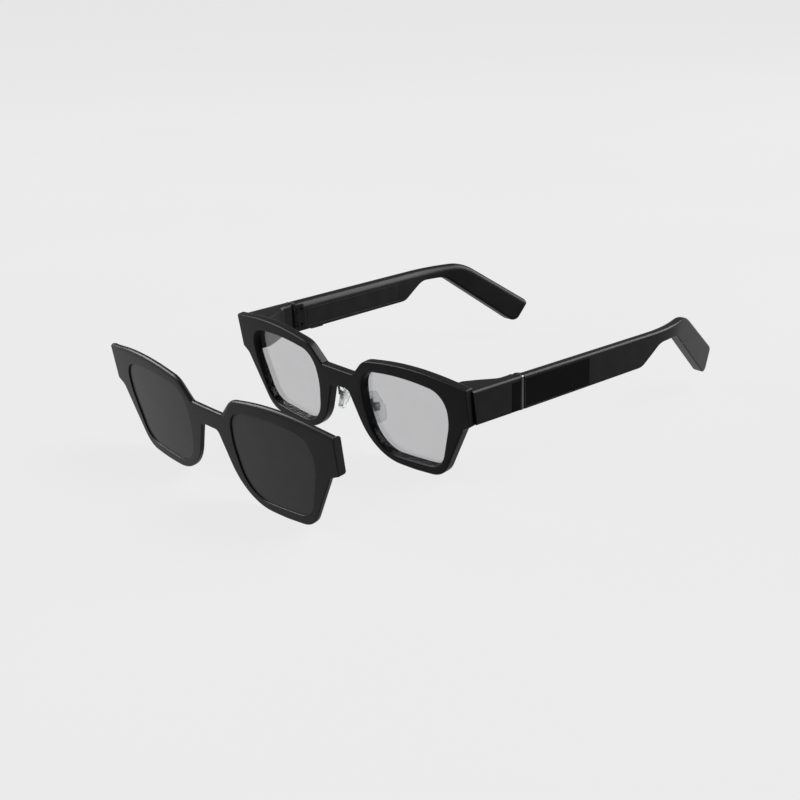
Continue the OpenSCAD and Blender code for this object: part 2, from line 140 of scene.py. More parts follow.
# A temple from the side: back along it, and up
TEMPLE_SIDE = [
    (JOINT_Y + JOINT_GAP, 0, 0.6),
    (EAR_Y, 0, 18),
    (EAR_Y + 34.5, -24.3, 2),
    (EAR_Y + 27.4, -35.2, 3.5),
    (EAR_Y - 10.8, -5.5, 10),
    (EAR_Y - 24.1, -5.3, 9),
    (EAR_Y - 35.6, -13.2, 7),
    (JOINT_Y + JOINT_GAP, -TEMPLE_H, 0.6),
]


# A rounded corner's chords turn by no more than this and are no longer than this
CHORD_TURN = math.radians(7)
CHORD = 2.5
# Edges that turn by less than this, as a sine, count as straight on
STRAIGHT = 0.02


def unit(x, y):
    n = math.hypot(x, y)
    return x / n, y / n


class Outline:
    """A rounded polygon that can be moved outwards or inwards with the same number of points."""

    def __init__(self, pts, pitch=2.5):
        self.pts = pts
        self.steps = [self.steps_at(i) for i in range(len(pts))]
        arcs = self.arcs(0.0)
        n = len(arcs)
        self.cuts = []
        for i in range(n):
            a, b = arcs[i][-1], arcs[(i + 1) % n][0]
            self.cuts.append(max(1, round(math.dist(a, b) / pitch)))

    def steps_at(self, i):
        """How many chords go round a corner: enough to look smooth, and few where it hardly turns."""
        a, b, c = self.pts[i - 1], self.pts[i], self.pts[(i + 1) % len(self.pts)]
        u, w = unit(b[0] - a[0], b[1] - a[1]), unit(c[0] - b[0], c[1] - b[1])
        turn = math.acos(max(-1.0, min(1.0, u[0] * w[0] + u[1] * w[1])))
        return max(1, math.ceil(turn / CHORD_TURN), math.ceil(b[2] * turn / CHORD))

    def grown(self, d):
        """The corners moved outwards by d, which is one number or one for each edge."""
        n = len(self.pts)
        d = d if isinstance(d, list) else [d] * n
        out = []
        for i, (x, y, r) in enumerate(self.pts):
            ax, ay, _ = self.pts[i - 1]
            cx, cy, _ = self.pts[(i + 1) % n]
            e, f = unit(x - ax, y - ay), unit(cx - x, cy - y)
            d1, d2 = d[i - 1], d[i]
            turn = e[0] * f[1] - e[1] * f[0]
            if abs(turn) < STRAIGHT:
                dx, dy = -e[1] * (d1 + d2) / 2, e[0] * (d1 + d2) / 2
            else:
                dx = (f[0] * d1 - e[0] * d2) / turn
                dy = (f[1] * d1 - e[1] * d2) / turn
            out.append((x + dx, y + dy, r + (d1 + d2) / 2 * (1 if turn < 0 else -1)))
        return out

    def arcs(self, d):
        """The points of each corner, with the outline moved outwards by d."""
        pts = self.grown(d)
        n = len(pts)
        out = []
        for i, (x, y, r) in enumerate(pts):
            if self.pts[i][2] <= 0:
                out.append([(x, y)])
                continue
            r = max(r, 0.02)
            ax, ay, _ = pts[i - 1]
            cx, cy, _ = pts[(i + 1) % n]
            u, w = unit(ax - x, ay - y), unit(cx - x, cy - y)
            half = math.acos(max(-1.0, min(1.0, u[0] * w[0] + u[1] * w[1]))) / 2
            m = unit(u[0] + w[0], u[1] + w[1])
            mx, my = x + m[0] * r / math.sin(half), y + m[1] * r / math.sin(half)
            fx, fy = x + u[0] * r / math.tan(half) - mx, y + u[1] * r / math.tan(half) - my
            turn = -(u[0] * w[1] - u[1] * w[0])
            sweep = (math.pi - 2 * half) * (1 if turn > 0 else -1)
            arc = []
            for k in range(self.steps[i] + 1):
                c, v = math.cos(sweep * k / self.steps[i]), math.sin(sweep * k / self.steps[i])
                arc.append((mx + fx * c - fy * v, my + fx * v + fy * c))
            out.append(arc)
        return out

    def ring(self, d=0.0):
        """All points of the outline moved outwards by d."""
        arcs = self.arcs(d)
        n = len(arcs)
        out = []
        for i, arc in enumerate(arcs):
            out.extend(arc)
            a, b = arc[-1], arcs[(i + 1) % n][0]
            for k in range(1, self.cuts[i]):
                t = k / self.cuts[i]
                out.append((a[0] + (b[0] - a[0]) * t, a[1] + (b[1] - a[1]) * t))
        return out

    def values(self, per_edge):
        """One value for each point of a ring, from one for each edge."""
        if not isinstance(per_edge, list):
            per_edge = [per_edge] * len(self.pts)
        out = []
        for i in range(len(self.pts)):
            n = 1 if self.pts[i][2] <= 0 else self.steps[i] + 1
            for k in range(n):
                t = 0.5 if n == 1 else k / (n - 1)
                out.append(per_edge[i - 1] * (1 - t) + per_edge[i] * t)
            out.extend([per_edge[i]] * (self.cuts[i] - 1))
        return out

    def mirrored(self):
        return Outline(flipped(self.pts))


class Loose:
    """A plain loop of points that stands in for an Outline where it is only moved in or out."""

    def __init__(self, make):
        self.make = make

    def ring(self, d=0.0):
        return self.make(d)


def circle(x, y, r, n=24):
    def make(d):
        turns = [-2 * math.pi * k / n for k in range(n)]
        return [(x + (r + d) * math.cos(t), y + (r + d) * math.sin(t)) for t in turns]
    return Loose(make)


def inside(p, loop):
    """Whether the point p lies inside a loop."""
    x, y = p
    hit = False
    j = len(loop) - 1
    for i in range(len(loop)):
        xi, yi = loop[i]
        xj, yj = loop[j]
        if (yi > y) != (yj > y) and x < (xj - xi) * (y - yi) / (yj - yi) + xi:
            hit = not hit
        j = i
    return hit


# ---- plates: an outline with a thickness, edge profiles, openings and recesses ----

# Steps of a rounded edge
ARC_STEPS = 5
# A triangle is flat, and left out, when twice its area is below this share of its longest side squared
FLAT_SHARE = 1e-5
# Edges that turn by more than this are drawn sharp
SHARP = math.radians(32)


class Mesh:
    """Points and faces of a piece. place turns its own (x, y, depth) into a point of the face frame."""

    def __init__(self, place):
        self.place = place
        self.verts = []
        self.faces = []
        self.flat = []

    def loop(self, pts, depth):
        """Adds one ring of points. depth is a number, or one for each point."""
        start = len(self.verts)
        for i, (x, y) in enumerate(pts):
            c = depth[i] if isinstance(depth, list) else depth
            self.flat.append((x, y))
            self.verts.append(self.place(x, y, c))
        return list(range(start, len(self.verts)))

    def wall(self, a, b):
        n = len(a)
        for i in range(n):
            j = (i + 1) % n
            self.faces.append((a[i], a[j], b[j], b[i]))

    def edge(self, outline, t, front, rear, way=-1, start=0.0, squash=1.0):
        """The side wall of a plate t thick, with rounded edges. Returns its first and last ring.

        front and rear are the radii of the edges. way is 1 for an opening, and squash is the depth of the
        front rounding over its width.
        """
        front = front if isinstance(front, list) else [front] * len(outline.pts)
        rear = rear if isinstance(rear, list) else [rear] * len(outline.pts)
        rings = []
        for k in range(ARC_STEPS + 1):
            a = k / ARC_STEPS * math.pi / 2
            at = outline.ring([way * f * (1 - math.sin(a)) for f in front])
            drop = outline.values([squash * f * (1 - math.cos(a)) for f in front])
            rings.append(self.loop(at, [start + v for v in drop]))
        for k in range(ARC_STEPS + 1):
            a = k / ARC_STEPS * math.pi / 2
            at = outline.ring([way * r * (1 - math.cos(a)) for r in rear])
            rise = outline.values([r * (1 - math.sin(a)) for r in rear])
            rings.append(self.loop(at, [start + t - v for v in rise]))
        for a, b in zip(rings, rings[1:]):
            self.wall(a, b)
        return rings[0], rings[-1]

    def pocket(self, outline, top, floor, lip=0.08):
        """A recess from depth top to depth floor. Returns its rim, a hole of the surface around it."""
        rim = self.loop(outline.ring(lip), top)
        step = lip if floor > top else -lip
        wall = self.loop(outline.ring(0.0), top + step)
        base = self.loop(outline.ring(0.0), floor)
        self.wall(rim, wall)
        self.wall(wall, base)
        self.cap(base, [], lambda x, y: floor)
        return rim

    def cap(self, outer, holes, depth, pitch=2.6):
        """Fills between one ring and the rings inside it. New points take their depth from depth(x, y)."""
        outer_pts = [self.flat[i] for i in outer]
        hole_pts = [[self.flat[i] for i in h] for h in holes]
        ids = list(outer)
        coords = [Vector(p) for p in outer_pts]
        edges = [(i, (i + 1) % len(outer)) for i in range(len(outer))]
        for h, pts in zip(holes, hole_pts):
            s = len(coords)
            coords += [Vector(p) for p in pts]
            ids += list(h)
            edges += [(s + i, s + (i + 1) % len(h)) for i in range(len(h))]
        xs = [p[0] for p in outer_pts]
        ys = [p[1] for p in outer_pts]
        segs = [(coords[a], coords[b]) for a, b in edges]
        row = 0
        y = min(ys) + pitch / 2
        while y < max(ys):
            x = min(xs) + (pitch / 2 if row % 2 else 0.0)
            while x < max(xs):
                p = Vector((x, y))
                if inside(p, outer_pts) and not any(inside(p, h) for h in hole_pts):
                    if all(far(p, a, b, pitch * 0.45) for a, b in segs):
                        ids.append(len(self.verts))
                        coords.append(p)
                        self.flat.append((x, y))
                        self.verts.append(self.place(x, y, depth(x, y)))
                x += pitch
            y += pitch * 0.866
            row += 1
        vs, _, fs, ov, _, _ = delaunay_2d_cdt(coords, edges, [], 0, 1e-7)
        for f in fs:
            a, b, c = (vs[i] for i in f)
            longest = max((b - a).length_squared, (c - b).length_squared, (a - c).length_squared)
            if abs((b - a).cross(c - a)) < FLAT_SHARE * longest:
                continue
            middle = (a + b + c) / 3
            if inside(middle, outer_pts) and not any(inside(middle, h) for h in hole_pts):
                self.faces.append(tuple(ids[ov[i][0]] for i in f))


def far(p, a, b, d):
    """Whether the point p is farther than d from the segment a b."""
    ab = b - a
    t = max(0.0, min(1.0, (p - a).dot(ab) / max(ab.length_squared, 1e-12)))
    return (p - (a + ab * t)).length_squared > d * d


def build(name, mesh, material, body, *replaced):
    """Turns the points and faces into a piece that rides on a body."""
    me = bpy.data.meshes.new(name)
    me.from_pydata([(FACE_ORIGIN + v) * MM for v in mesh.verts], [], mesh.faces)
    bm = bmesh.new()
    bm.from_mesh(me)
    bmesh.ops.remove_doubles(bm, verts=bm.verts, dist=1e-6)
    loose = [v for v in bm.verts if not v.link_faces]
    bmesh.ops.delete(bm, geom=loose, context="VERTS")
    bmesh.ops.recalc_face_normals(bm, faces=bm.faces)
    open_edges = sum(1 for e in bm.edges if len(e.link_faces) != 2)
    if open_edges:
        print("open edges", name, open_edges)
    bm.to_mesh(me)
    bm.free()
    me.shade_smooth()
    me.set_sharp_from_angle(angle=SHARP)
    obj = bpy.data.objects.new(name, me)
    bpy.context.scene.collection.objects.link(obj)
    me.materials.append(material)
    weighted = obj.modifiers.new("normals", "WEIGHTED_NORMAL")
    weighted.keep_sharp = True
    weighted.weight = 80
    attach(obj, body)
    if replaced:
        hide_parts(*replaced)
    return obj


def sag(x):
    """How far the front's surface lies behind its middle."""
    return BOW_R - math.sqrt(BOW_R**2 - x * x)


def leaning(x, y, n, gap):
    """A point y up the leaning front and n behind the bridge's front, moved forwards by gap."""
    back = -y * math.sin(TILT) + n * math.cos(TILT) - gap
    return Vector((x, back, y * math.cos(TILT) + n * math.sin(TILT)))


def on_face(gap=0.0):
    """Local x is across, y up the leaning front, and depth is measured back from the bowed surface."""
    def place(x, y, depth):
        return leaning(x, y, sag(x) + depth, gap)
    return place


def side_point(u, y, z, s):
    """A point u outwards from a temple's outer face. s is 1 at the wearer's left and -1 at the right."""
    x = SIDE_X + math.cos(SPLAY) * u + math.sin(SPLAY) * y
    return Vector((s * x, -math.sin(SPLAY) * u + math.cos(SPLAY) * y, z))


def bend_shift(y, radius):
    """How far a temple's face has turned inwards at y."""
    if y <= BEND_START:
        return 0.0
    end = BEND_START + radius * math.sin(TIP_IN)
    if y <= end:
        return radius - math.sqrt(radius**2 - (y - BEND_START) ** 2)
    return radius * (1 - math.cos(TIP_IN)) + (y - end) * math.tan(TIP_IN)


def on_temple(s):
    """Local x runs back along the temple, y is up, and depth is measured inwards from its outer face."""
    def place(x, y, depth):
        outer = -bend_shift(x, BEND_OUTER_R)
        inner = -TEMPLE_T - bend_shift(x, BEND_INNER_R)
        u = outer + (inner - outer) * depth / TEMPLE_T
        return side_point(u, x, y, s)
    return place


# ---- materials ----

# Depth of the finest bumps, in metres
GRAIN_DEPTH = 0.00002


def nodes_of(name):
    mat = bpy.data.materials.new(name)
    mat.use_nodes = True
    tree = mat.node_tree
    shader = tree.nodes["Principled BSDF"]
    coords = tree.nodes.new("ShaderNodeTexCoord")
    return mat, tree, shader, coords


def noise(tree, coords, scale, detail=3.0, stretch=None):
    """A noise texture in the object's own coordinates, scale per metre."""
    out = coords.outputs["Object"]
    if stretch:
        mapping = tree.nodes.new("ShaderNodeMapping")
        mapping.inputs["Scale"].default_value = stretch
        tree.links.new(out, mapping.inputs["Vector"])
        out = mapping.outputs["Vector"]
    tex = tree.nodes.new("ShaderNodeTexNoise")
    tex.inputs["Scale"].default_value = scale
    tex.inputs["Detail"].default_value = detail
    tree.links.new(out, tex.inputs["Vector"])
    return tex.outputs["Fac"]


def ramp(tree, fac, low, high, start=0.35, end=0.65):
    """A colour between low and high, by a noise's value."""
    node = tree.nodes.new("ShaderNodeValToRGB")
    node.color_ramp.elements[0].position = start
    node.color_ramp.elements[1].position = end
    node.color_ramp.elements[0].color = (*low, 1)
    node.color_ramp.elements[1].color = (*high, 1)
    tree.links.new(fac, node.inputs["Fac"])
    return node.outputs["Color"]


def spread(tree, fac, low, high):
    """A number between low and high, by a noise's value."""
    node = tree.nodes.new("ShaderNodeMapRange")
    node.inputs["From Min"].default_value = 0.3
    node.inputs["From Max"].default_value = 0.7
    node.inputs["To Min"].default_value = low
    node.inputs["To Max"].default_value = high
    tree.links.new(fac, node.inputs["Value"])
    return node.outputs["Result"]


def surface(name, color, rough, grain=9000.0, bump=0.08, vary=0.12, metallic=0.0, specular=0.5, stretch=None,
            transmission=0.0, ior=1.5):
    """A surface with a fine grain in its bump and roughness, and a faint cloud in its colour."""
    mat, tree, shader, coords = nodes_of(name)
    fine = noise(tree, coords, grain, 4.0, stretch)
    cloud = noise(tree, coords, 140.0, 3.0)
    low = tuple(c * (1 - vary) for c in color)
    high = tuple(min(1.0, c * (1 + vary)) for c in color)
    tree.links.new(ramp(tree, cloud, low, high), shader.inputs["Base Color"])
    tree.links.new(spread(tree, fine, rough * 0.92, rough * 1.08), shader.inputs["Roughness"])
    shader.inputs["Metallic"].default_value = metallic
    shader.inputs["Specular IOR Level"].default_value = specular
    shader.inputs["Transmission Weight"].default_value = transmission
    shader.inputs["IOR"].default_value = ior
    if bump:
        node = tree.nodes.new("ShaderNodeBump")
        node.inputs["Strength"].default_value = bump
        node.inputs["Distance"].default_value = GRAIN_DEPTH
        tree.links.new(fine, node.inputs["Height"])
        tree.links.new(node.outputs["Normal"], shader.inputs["Normal"])
    return mat


def grey(v):
    return (v, v, v * 1.02)


# Grain drawn out along the height of a strip
BRUSHED = (1, 1, 0.06)
M = {
    "frame": surface("frame_black", grey(0.0045), 0.3, specular=0.04),
    "clip": surface("clip_black", grey(0.0052), 0.3, specular=0.07),
    "temple": surface("temple_black", grey(0.0045), 0.3, specular=0.04),
    "inset": surface("inset_black", grey(0.0025), 0.45, specular=0.04),
    "gloss": surface("panel_gloss", grey(0.0015), 0.2, grain=2500.0, bump=0.02, specular=0.02),
    "lens": surface("lens_clear", (0.57, 0.57, 0.58), 0.03, grain=400.0, bump=0.0, vary=0.01,
                    transmission=1.0),
    "smoke": surface("lens_smoke", grey(0.016), 0.2, grain=1200.0, bump=0.0, vary=0.04, specular=0.06),
    "pad": surface("pad_clear", (0.62, 0.63, 0.63), 0.22, grain=3000.0, bump=0.05, vary=0.02,
                   transmission=0.85, ior=1.41),
    "core": surface("pad_core_metal", grey(0.16), 0.3, metallic=1.0, bump=0.1),
    "strip": surface("strip_metal", grey(0.08), 0.32, grain=4000.0, bump=0.1, metallic=1.0, stretch=BRUSHED),
    "metal": surface("metal_bright", grey(0.62), 0.24, grain=4000.0, bump=0.1, metallic=1.0, stretch=BRUSHED),
    "wire": surface("metal_wire", grey(0.14), 0.28, metallic=1.0, bump=0.05),
    "dark": surface("metal_dark", grey(0.09), 0.38, metallic=0.9, bump=0.12),
    "board": surface("board_green", (0.02, 0.12, 0.06), 0.3, grain=1500.0),
    "cell": surface("cell_grey", grey(0.4), 0.35, metallic=0.7, bump=0.1),
    "flex": surface("flex_amber", (0.45, 0.2, 0.05), 0.3),
    "gold": surface("contact_gold", (0.83, 0.62, 0.26), 0.22, metallic=1.0, bump=0.05),
    "seal": surface("seal_black", grey(0.008), 0.6, specular=0.2),
}

# ---- the front ----

front_shape = Outline(front_outline(HALF_W))
clip_shape = Outline(front_outline(CLIP_W))
opening_left = Outline(Outline(OPENING_EDGE).grown(-BORE_IN))
opening_right = opening_left.mirrored()
# The strip behind the brow: how far inside the outline it lies, its width, thickness and lower ends
COVER_IN = 1.65
COVER_W = 1.5
COVER_T = 0.8
COVER_END = -11.3
# The clip-on's magnets, and the radius and depth of their pockets
MAGNETS = [(67, -7.5), (6.5, -11.6)]
POCKET_R = 1.23
POCKET_DEPTH = 1.1
# Width of the lens seats behind the bores, and the chamfer on their rear edge
SEAT_W = 0.85
SEAT_CHAMFER = 0.2
CLIP_SEAT_W = 0.65
CLIP_SEAT_CHAMFER = 0.12
# Rounding of the front edge of the openings
OPENING_ROUND = 0.9
CLIP_OPENING_ROUND = 0.3
# How far the lenses reach into their seats
LENS_LAP = 0.8
SUN_LENS_LAP = 0.6
# Gap round an inlay, and the rounding of the recess that holds it
GAP = 0.05
LIP = 0.06


def brow_band(grow):
    """The strip behind the brow: the upper part of two rings inside the front's outline."""
    middle = front_shape.ring(-COVER_IN - COVER_W / 2)
    start = next(i for i in range(len(middle)) if middle[i][1] > COVER_END + 1 >= middle[i - 1][1])
    order = [(start + k) % len(middle) for k in range(len(middle))]
    kept = [i for i in order if middle[i][1] > COVER_END + 1]

    def run(d):
        ring = front_shape.ring(d)
        return [ring[i] for i in kept]
    upper = run(grow - COVER_IN)
    lower = run(-COVER_IN - COVER_W - grow)
    end = COVER_END - grow
    upper = [(upper[0][0], end)] + upper + [(upper[-1][0], end)]
    lower = [(lower[0][0], end)] + lower + [(lower[-1][0], end)]
    return upper + lower[::-1]


# Rounding of the front's front and rear edges, for each edge of half its outline
FRONT_EDGE = [0.65, 0.65, 0.65, 0.35, 0.35, 0.65, 0.65, 0.65, 0.65]
REAR_EDGE = [1.5, 1.5, 1.5, 0.8, 0.8, 0.8, 0.8, 0.8, 0.8]


def both_halves(half, low, top):
    """Values for the whole front from those of one half and of the bridge's lower and upper edge."""
    return half + [low] + half[::-1] + [top]


def seated_opening(m, shape, seat_depth, rounding, t, seat_w, chamfer):
    """A bore, the lens seat behind it and its chamfered rear edge. Returns the front and the rear ring."""
    front, bore = m.edge(shape, seat_depth, rounding, 0.0, way=1)
    seat = m.loop(shape.ring(seat_w), seat_depth)
    back = m.loop(shape.ring(seat_w), t - chamfer)
    rear = m.loop(shape.ring(seat_w + chamfer), t)
    for p, q in ((bore, seat), (seat, back), (back, rear)):
        m.wall(p, q)
    return front, rear


def make_front():
    m = Mesh(on_face())
    outer_a, outer_b = m.edge(front_shape, RIM_T, both_halves(FRONT_EDGE, 0.65, 0.65),
                              both_halves(REAR_EDGE, 0.8, 1.5))
    fronts, rears = [], []
    for shape in (opening_left, opening_right):
        front, rear = seated_opening(m, shape, LENS_SEAT, OPENING_ROUND, RIM_T, SEAT_W, SEAT_CHAMFER)
        fronts.append(front)
        rears.append(rear)
    channel = m.pocket(Loose(lambda d: brow_band(d + GAP)), RIM_T, RIM_T - COVER_T, lip=LIP)
    m.cap(outer_a, fronts, lambda x, y: 0.0)
    m.cap(outer_b, rears + [channel], lambda x, y: RIM_T)
    build("front_shell", m, M["frame"], "front", "front_frame")


def make_brow_strip(chamfer=0.12):
    m = Mesh(on_face())
    small, full = brow_band(-chamfer), brow_band(0.0)
    base = m.loop(full, RIM_T - COVER_T)
    side = m.loop(full, RIM_T - chamfer)
    top = m.loop(small, RIM_T)
    m.wall(base, side)
    m.wall(side, top)
    m.cap(base, [], lambda x, y: RIM_T - COVER_T)
    m.cap(top, [], lambda x, y: RIM_T)
    build("brow_strip", m, M["inset"], "front", "brow_cover")


def make_lens(name, shape, grow, start, t, gap, material, body, node, lip=0.15):
    """A lens that follows the bowed front and reaches past its opening by grow."""
    m = Mesh(on_face(gap))
    a, b = m.edge(Outline(shape.grown(grow)), t, lip, lip, start=start)
    m.cap(a, [], lambda x, y: start)
    m.cap(b, [], lambda x, y: start + t)
    build(name, m, material, body, node)


make_front()
make_brow_strip()
for side, s in SIDES:
    opening = opening_left if s > 0 else opening_right
    make_lens(side + "_lens_glass", opening, LENS_LAP, LENS_SEAT, LENS_T, 0.0,
              M["lens"], "front", side + "_lens")
    make_lens(side + "_sun_lens", opening, SUN_LENS_LAP, CLIP_SEAT, SUN_LENS_T, CLIP_GAP,
              M["smoke"], "clip_on", side + "_clip_lens")


# ---- the clip-on ----

# Width of its front bevel, for each edge of half its outline, and the bevel's depth over its width
CLIP_EDGE = [1.9, 1.9, 1.9, 0.5, 0.5, 0.5, 0.5, 0.5, 0.5]
CLIP_BEVEL = 0.55
# A tab from the side: up the front, and back
TAB = [(-14.8, 0.8, 0.05), (-14.8, CLIP_TAB, 1.0), (-0.3, CLIP_TAB, 1.0), (-0.3, 0.8, 0.05)]
TAB_T = 0.8
# The tabs stand clear of the clip-on's side by this much, so that two faces never share a plane
TAB_PROUD = 0.01


def on_clip_side(s):
    """Local x is up the leaning clip-on, y is back, and depth is measured inwards from its side edge."""
    def place(x, y, depth):
        lean = SIDE_IN / (SIDE_TOP - SIDE_LOW) * (x - SIDE_TOP)
        return leaning(s * (CLIP_W + TAB_PROUD + lean - depth), x, BOW + y, CLIP_GAP)
    return place


def make_clip():
    m = Mesh(on_face(CLIP_GAP))
    outer_a, outer_b = m.edge(clip_shape, CLIP_T, both_halves(CLIP_EDGE, 0.6, 1.5), 0.3, squash=CLIP_BEVEL)
    fronts, rears = [], []
    for shape in (opening_left, opening_right):
        front, rear = seated_opening(m, shape, CLIP_SEAT, CLIP_OPENING_ROUND, CLIP_T,
                                     CLIP_SEAT_W, CLIP_SEAT_CHAMFER)
        fronts.append(front)
        rears.append(rear)
    for x, y in MAGNETS:
        for sx in (x, -x):
            rears.append(m.pocket(circle(sx, y, POCKET_R), CLIP_T, CLIP_T - POCKET_DEPTH, lip=LIP))
    m.cap(outer_a, fronts, lambda x, y: 0.0)
    m.cap(outer_b, rears, lambda x, y: CLIP_T)
    build("clip_shell", m, M["clip"], "clip_on", "clip_frame")
    for side, s in SIDES:
        t = Mesh(on_clip_side(s))
        a, b = t.edge(Outline(TAB, pitch=2.0), TAB_T, 0.04, 0.15)
        t.cap(a, [], lambda x, y: 0.0)
        t.cap(b, [], lambda x, y: TAB_T)
        build(side + "_clip_tab", t, M["clip"], "clip_on")


make_clip()

# ---- endpieces ----

# The endpiece's plan starts at y = START. Ahead of y = WARP it is drawn out to meet the leaning front
START = 2.0
WARP = 11.0
# How far the endpieces reach into the front
ENDPIECE_LAP = 1.2


def on_endpiece(s):
    """Local x is outwards, y back, and depth is measured down from the top. The front end follows the rim."""
    def place(x, y, depth):
        if y < WARP:
            n = sag(min(SIDE_X + x, HALF_W)) + RIM_T - ENDPIECE_LAP
            rear = n * math.cos(TILT) + depth * math.tan(TILT)
            y = WARP - (WARP - y) / (WARP - START) * (WARP - rear)
        return side_point(x, y, -depth, s)
    return place


def rounded_box(name, place, shape, t, front, rear, material, body, *replaced, start=0.0):
    """A plate t thick from depth start, with rounded edges of radius front and rear."""
    m = Mesh(place)
    a, b = m.edge(shape, t, front, rear, start=start)
    m.cap(a, [], lambda x, y: start)
    m.cap(b, [], lambda x, y: start + t)
    return build(name, m, material, body, *replaced)


def box_mesh(place, low, high):
    """A plain block in a place's coordinates, for cutting."""
    corners = [(x, y, z) for x in (low[0], high[0]) for y in (low[1], high[1]) for z in (low[2], high[2])]
    me = bpy.data.meshes.new("cutter")
    faces = [(0, 1, 3, 2), (4, 6, 7, 5), (0, 4, 5, 1), (2, 3, 7, 6), (0, 2, 6, 4), (1, 5, 7, 3)]
    me.from_pydata([(FACE_ORIGIN + place(*c)) * MM for c in corners], [], faces)
    return me


def cylinder_mesh(place, x, y, low, high, r, n=48):
    """A cylinder from depth low to depth high, for cutting."""
    pts = [(x + r * math.cos(2 * math.pi * k / n), y + r * math.sin(2 * math.pi * k / n)) for k in range(n)]
    me = bpy.data.meshes.new("cutter")
    verts = [(FACE_ORIGIN + place(px, py, c)) * MM for c in (low, high) for px, py in pts]
    faces = [tuple(range(n)), tuple(range(2 * n - 1, n - 1, -1))]
    faces += [(k, (k + 1) % n, n + (k + 1) % n, n + k) for k in range(n)]
    me.from_pydata(verts, [], faces)
    return me


def cut(obj, *meshes):
    """Cuts closed meshes out of a piece, and keeps its shading."""
    cutters = []
    for me in meshes:
        bm = bmesh.new()
        bm.from_mesh(me)
        bmesh.ops.recalc_face_normals(bm, faces=bm.faces)
        bm.to_mesh(me)
        bm.free()
        o = bpy.data.objects.new("cutter", me)
        bpy.context.scene.collection.objects.link(o)
        cutters.append(o)
        mod = obj.modifiers.new("cut", "BOOLEAN")
        mod.solver = "EXACT"
        mod.object = o
    weighted = obj.modifiers["normals"]
    weighted.show_viewport = False
    dg = bpy.context.evaluated_depsgraph_get()
    done = bpy.data.meshes.new_from_object(obj.evaluated_get(dg))
    for mod in [m for m in obj.modifiers if m.type == "BOOLEAN"]:
        obj.modifiers.remove(mod)
    weighted.show_viewport = True
    obj.data = done
    done.shade_smooth()
    done.set_sharp_from_angle(angle=SHARP)
    for o in cutters:
        bpy.data.objects.remove(o)


def from_top(s):
    """Local x is outwards from the temple's outer face, y back, and depth is measured down from the top."""
    return lambda x, y, depth: side_point(x, y, -depth, s)


def from_side(s):
    """Local x is back, y is up, and depth is measured inwards from the temple's outer face."""
    return lambda x, y, depth: side_point(-depth, x, y, s)


# Plan of the endpiece: outwards from the temple's outer face, and back
ENDPIECE = [
    (-13.4, START, 0),
    (-13.2, 12, 3),
    (-10.2, 17.8, 3),
    (-TEMPLE_T, 25.5, 4),
    (-TEMPLE_T, 30.1, 0),
    (-3.2, 30.1, 0),
    (-2.2, 30.42, 0),
    (-1.32, 31.3, 0),
    (0, 31.3, 0),
    (0, START, 0),
]
# Rounding of its top and lower edges
ENDPIECE_TOP = [2.6, 2.6, 2.6, 1.5, 0.12, 0.12, 0.12, 0.05, 1.15, 0.0]
ENDPIECE_LOW = [0.8, 0.8, 0.8, 0.8, 0.12, 0.12, 0.12, 0.1, 0.5, 0.0]
# Plan of the trim strip, and the rounding of its top and lower edges
STRIP = [(-1.3, 31.34, 0), (-1.02, 32.25, 0), (0, 32.25, 0), (0, 31.34, 0)]
STRIP_TOP = [0.08, 0.12, 0.75, 0.08]
STRIP_LOW = [0.08, 0.12, 0.4, 0.08]
# The recess for the gloss band as two corners, and the band from the side
BAND_RECESS = ((-0.5, 26, 1.5), (1, 30.7, 15))
BAND_T = 0.5
BAND = [(26.04, -13.45, 0.3), (26.04, -1.54, 0.3), (30.66, -1.54, 0.3), (30.66, -13.45, 0.3)]
for side, s in SIDES:
    shell = rounded_box(side + "_endpiece_shell", on_endpiece(s), Outline(ENDPIECE, pitch=2.0), TEMPLE_H,
                        ENDPIECE_TOP, ENDPIECE_LOW, M["frame"],
                        "front", side + "_endpiece", side + "_endpiece_cover")
    cut(shell, box_mesh(from_top(s), *BAND_RECESS))
    rounded_box(side + "_strip", from_top(s), Outline(STRIP, pitch=2.0), TEMPLE_H,
                STRIP_TOP, STRIP_LOW, M["strip"], "front", side + "_trim_strip")
    rounded_box(side + "_band", from_side(s), Outline(BAND, pitch=2.0), BAND_T,
                0.12, 0.05, M["gloss"], "front", side + "_gloss_band")

# ---- temples ----

# The touch panel and the inner cover from the side, back along the temple and up, and their thickness
PANEL = Outline([(33.5, -12.9, 0.6), (33.5, -1.5, 0.6), (68.7, -1.5, 0.6), (68.7, -12.9, 0.6)])
PANEL_T = 0.5
PANEL_GAP = 0.02
PANEL_ROUND = 0.03
COVER = Outline([(39, -11.9, 0.8), (39, -3.7, 0.8), (96.5, -3.7, 0.8), (96.5, -11.9, 0.8)])
INNER_COVER_T = 1.0
# Rounding of the temple's outer and inner edges, for each edge of its outline
OUTER_EDGE = [1.15, 1.15, 0.8, 0.5, 0.4, 0.4, 0.32, 0.25]
INNER_EDGE = [3.2, 3.0, 1.2, 1.2, 1.2, 1.0, 0.8, 0.25]
# Recesses as two corners: outwards from the outer face, back, and down from the top. INSIDE and BELOW are
# well past the inner face and the underside
INSIDE = -20
BELOW = 16
HINGE_SWING = ((INSIDE, 20, KNUCKLES_TOP), (HINGE_U, HINGE_Y + 2.0, KNUCKLES_LOW))
HINGE_PLATE = ((INSIDE, 33.1, 1.1), (-TEMPLE_T + 1.15, 37.1, 12.5))
SPEAKER_SLOT = ((-3.8, 88, 13.2), (-1.8, 95.5, BELOW))
BUTTON_SLOT = ((-4.05, 42.15, KNUCKLES_LOW), (-1.35, 49.25, BELOW))
# Holes for the charge contacts: places along the left temple, height, radius, and depths of their ends
CONTACT_Y = (50, 55)
CONTACT_Z = -7.2
CONTACT_R = 1.3
CONTACT_ENDS = (TEMPLE_T - 2, TEMPLE_T + 1)
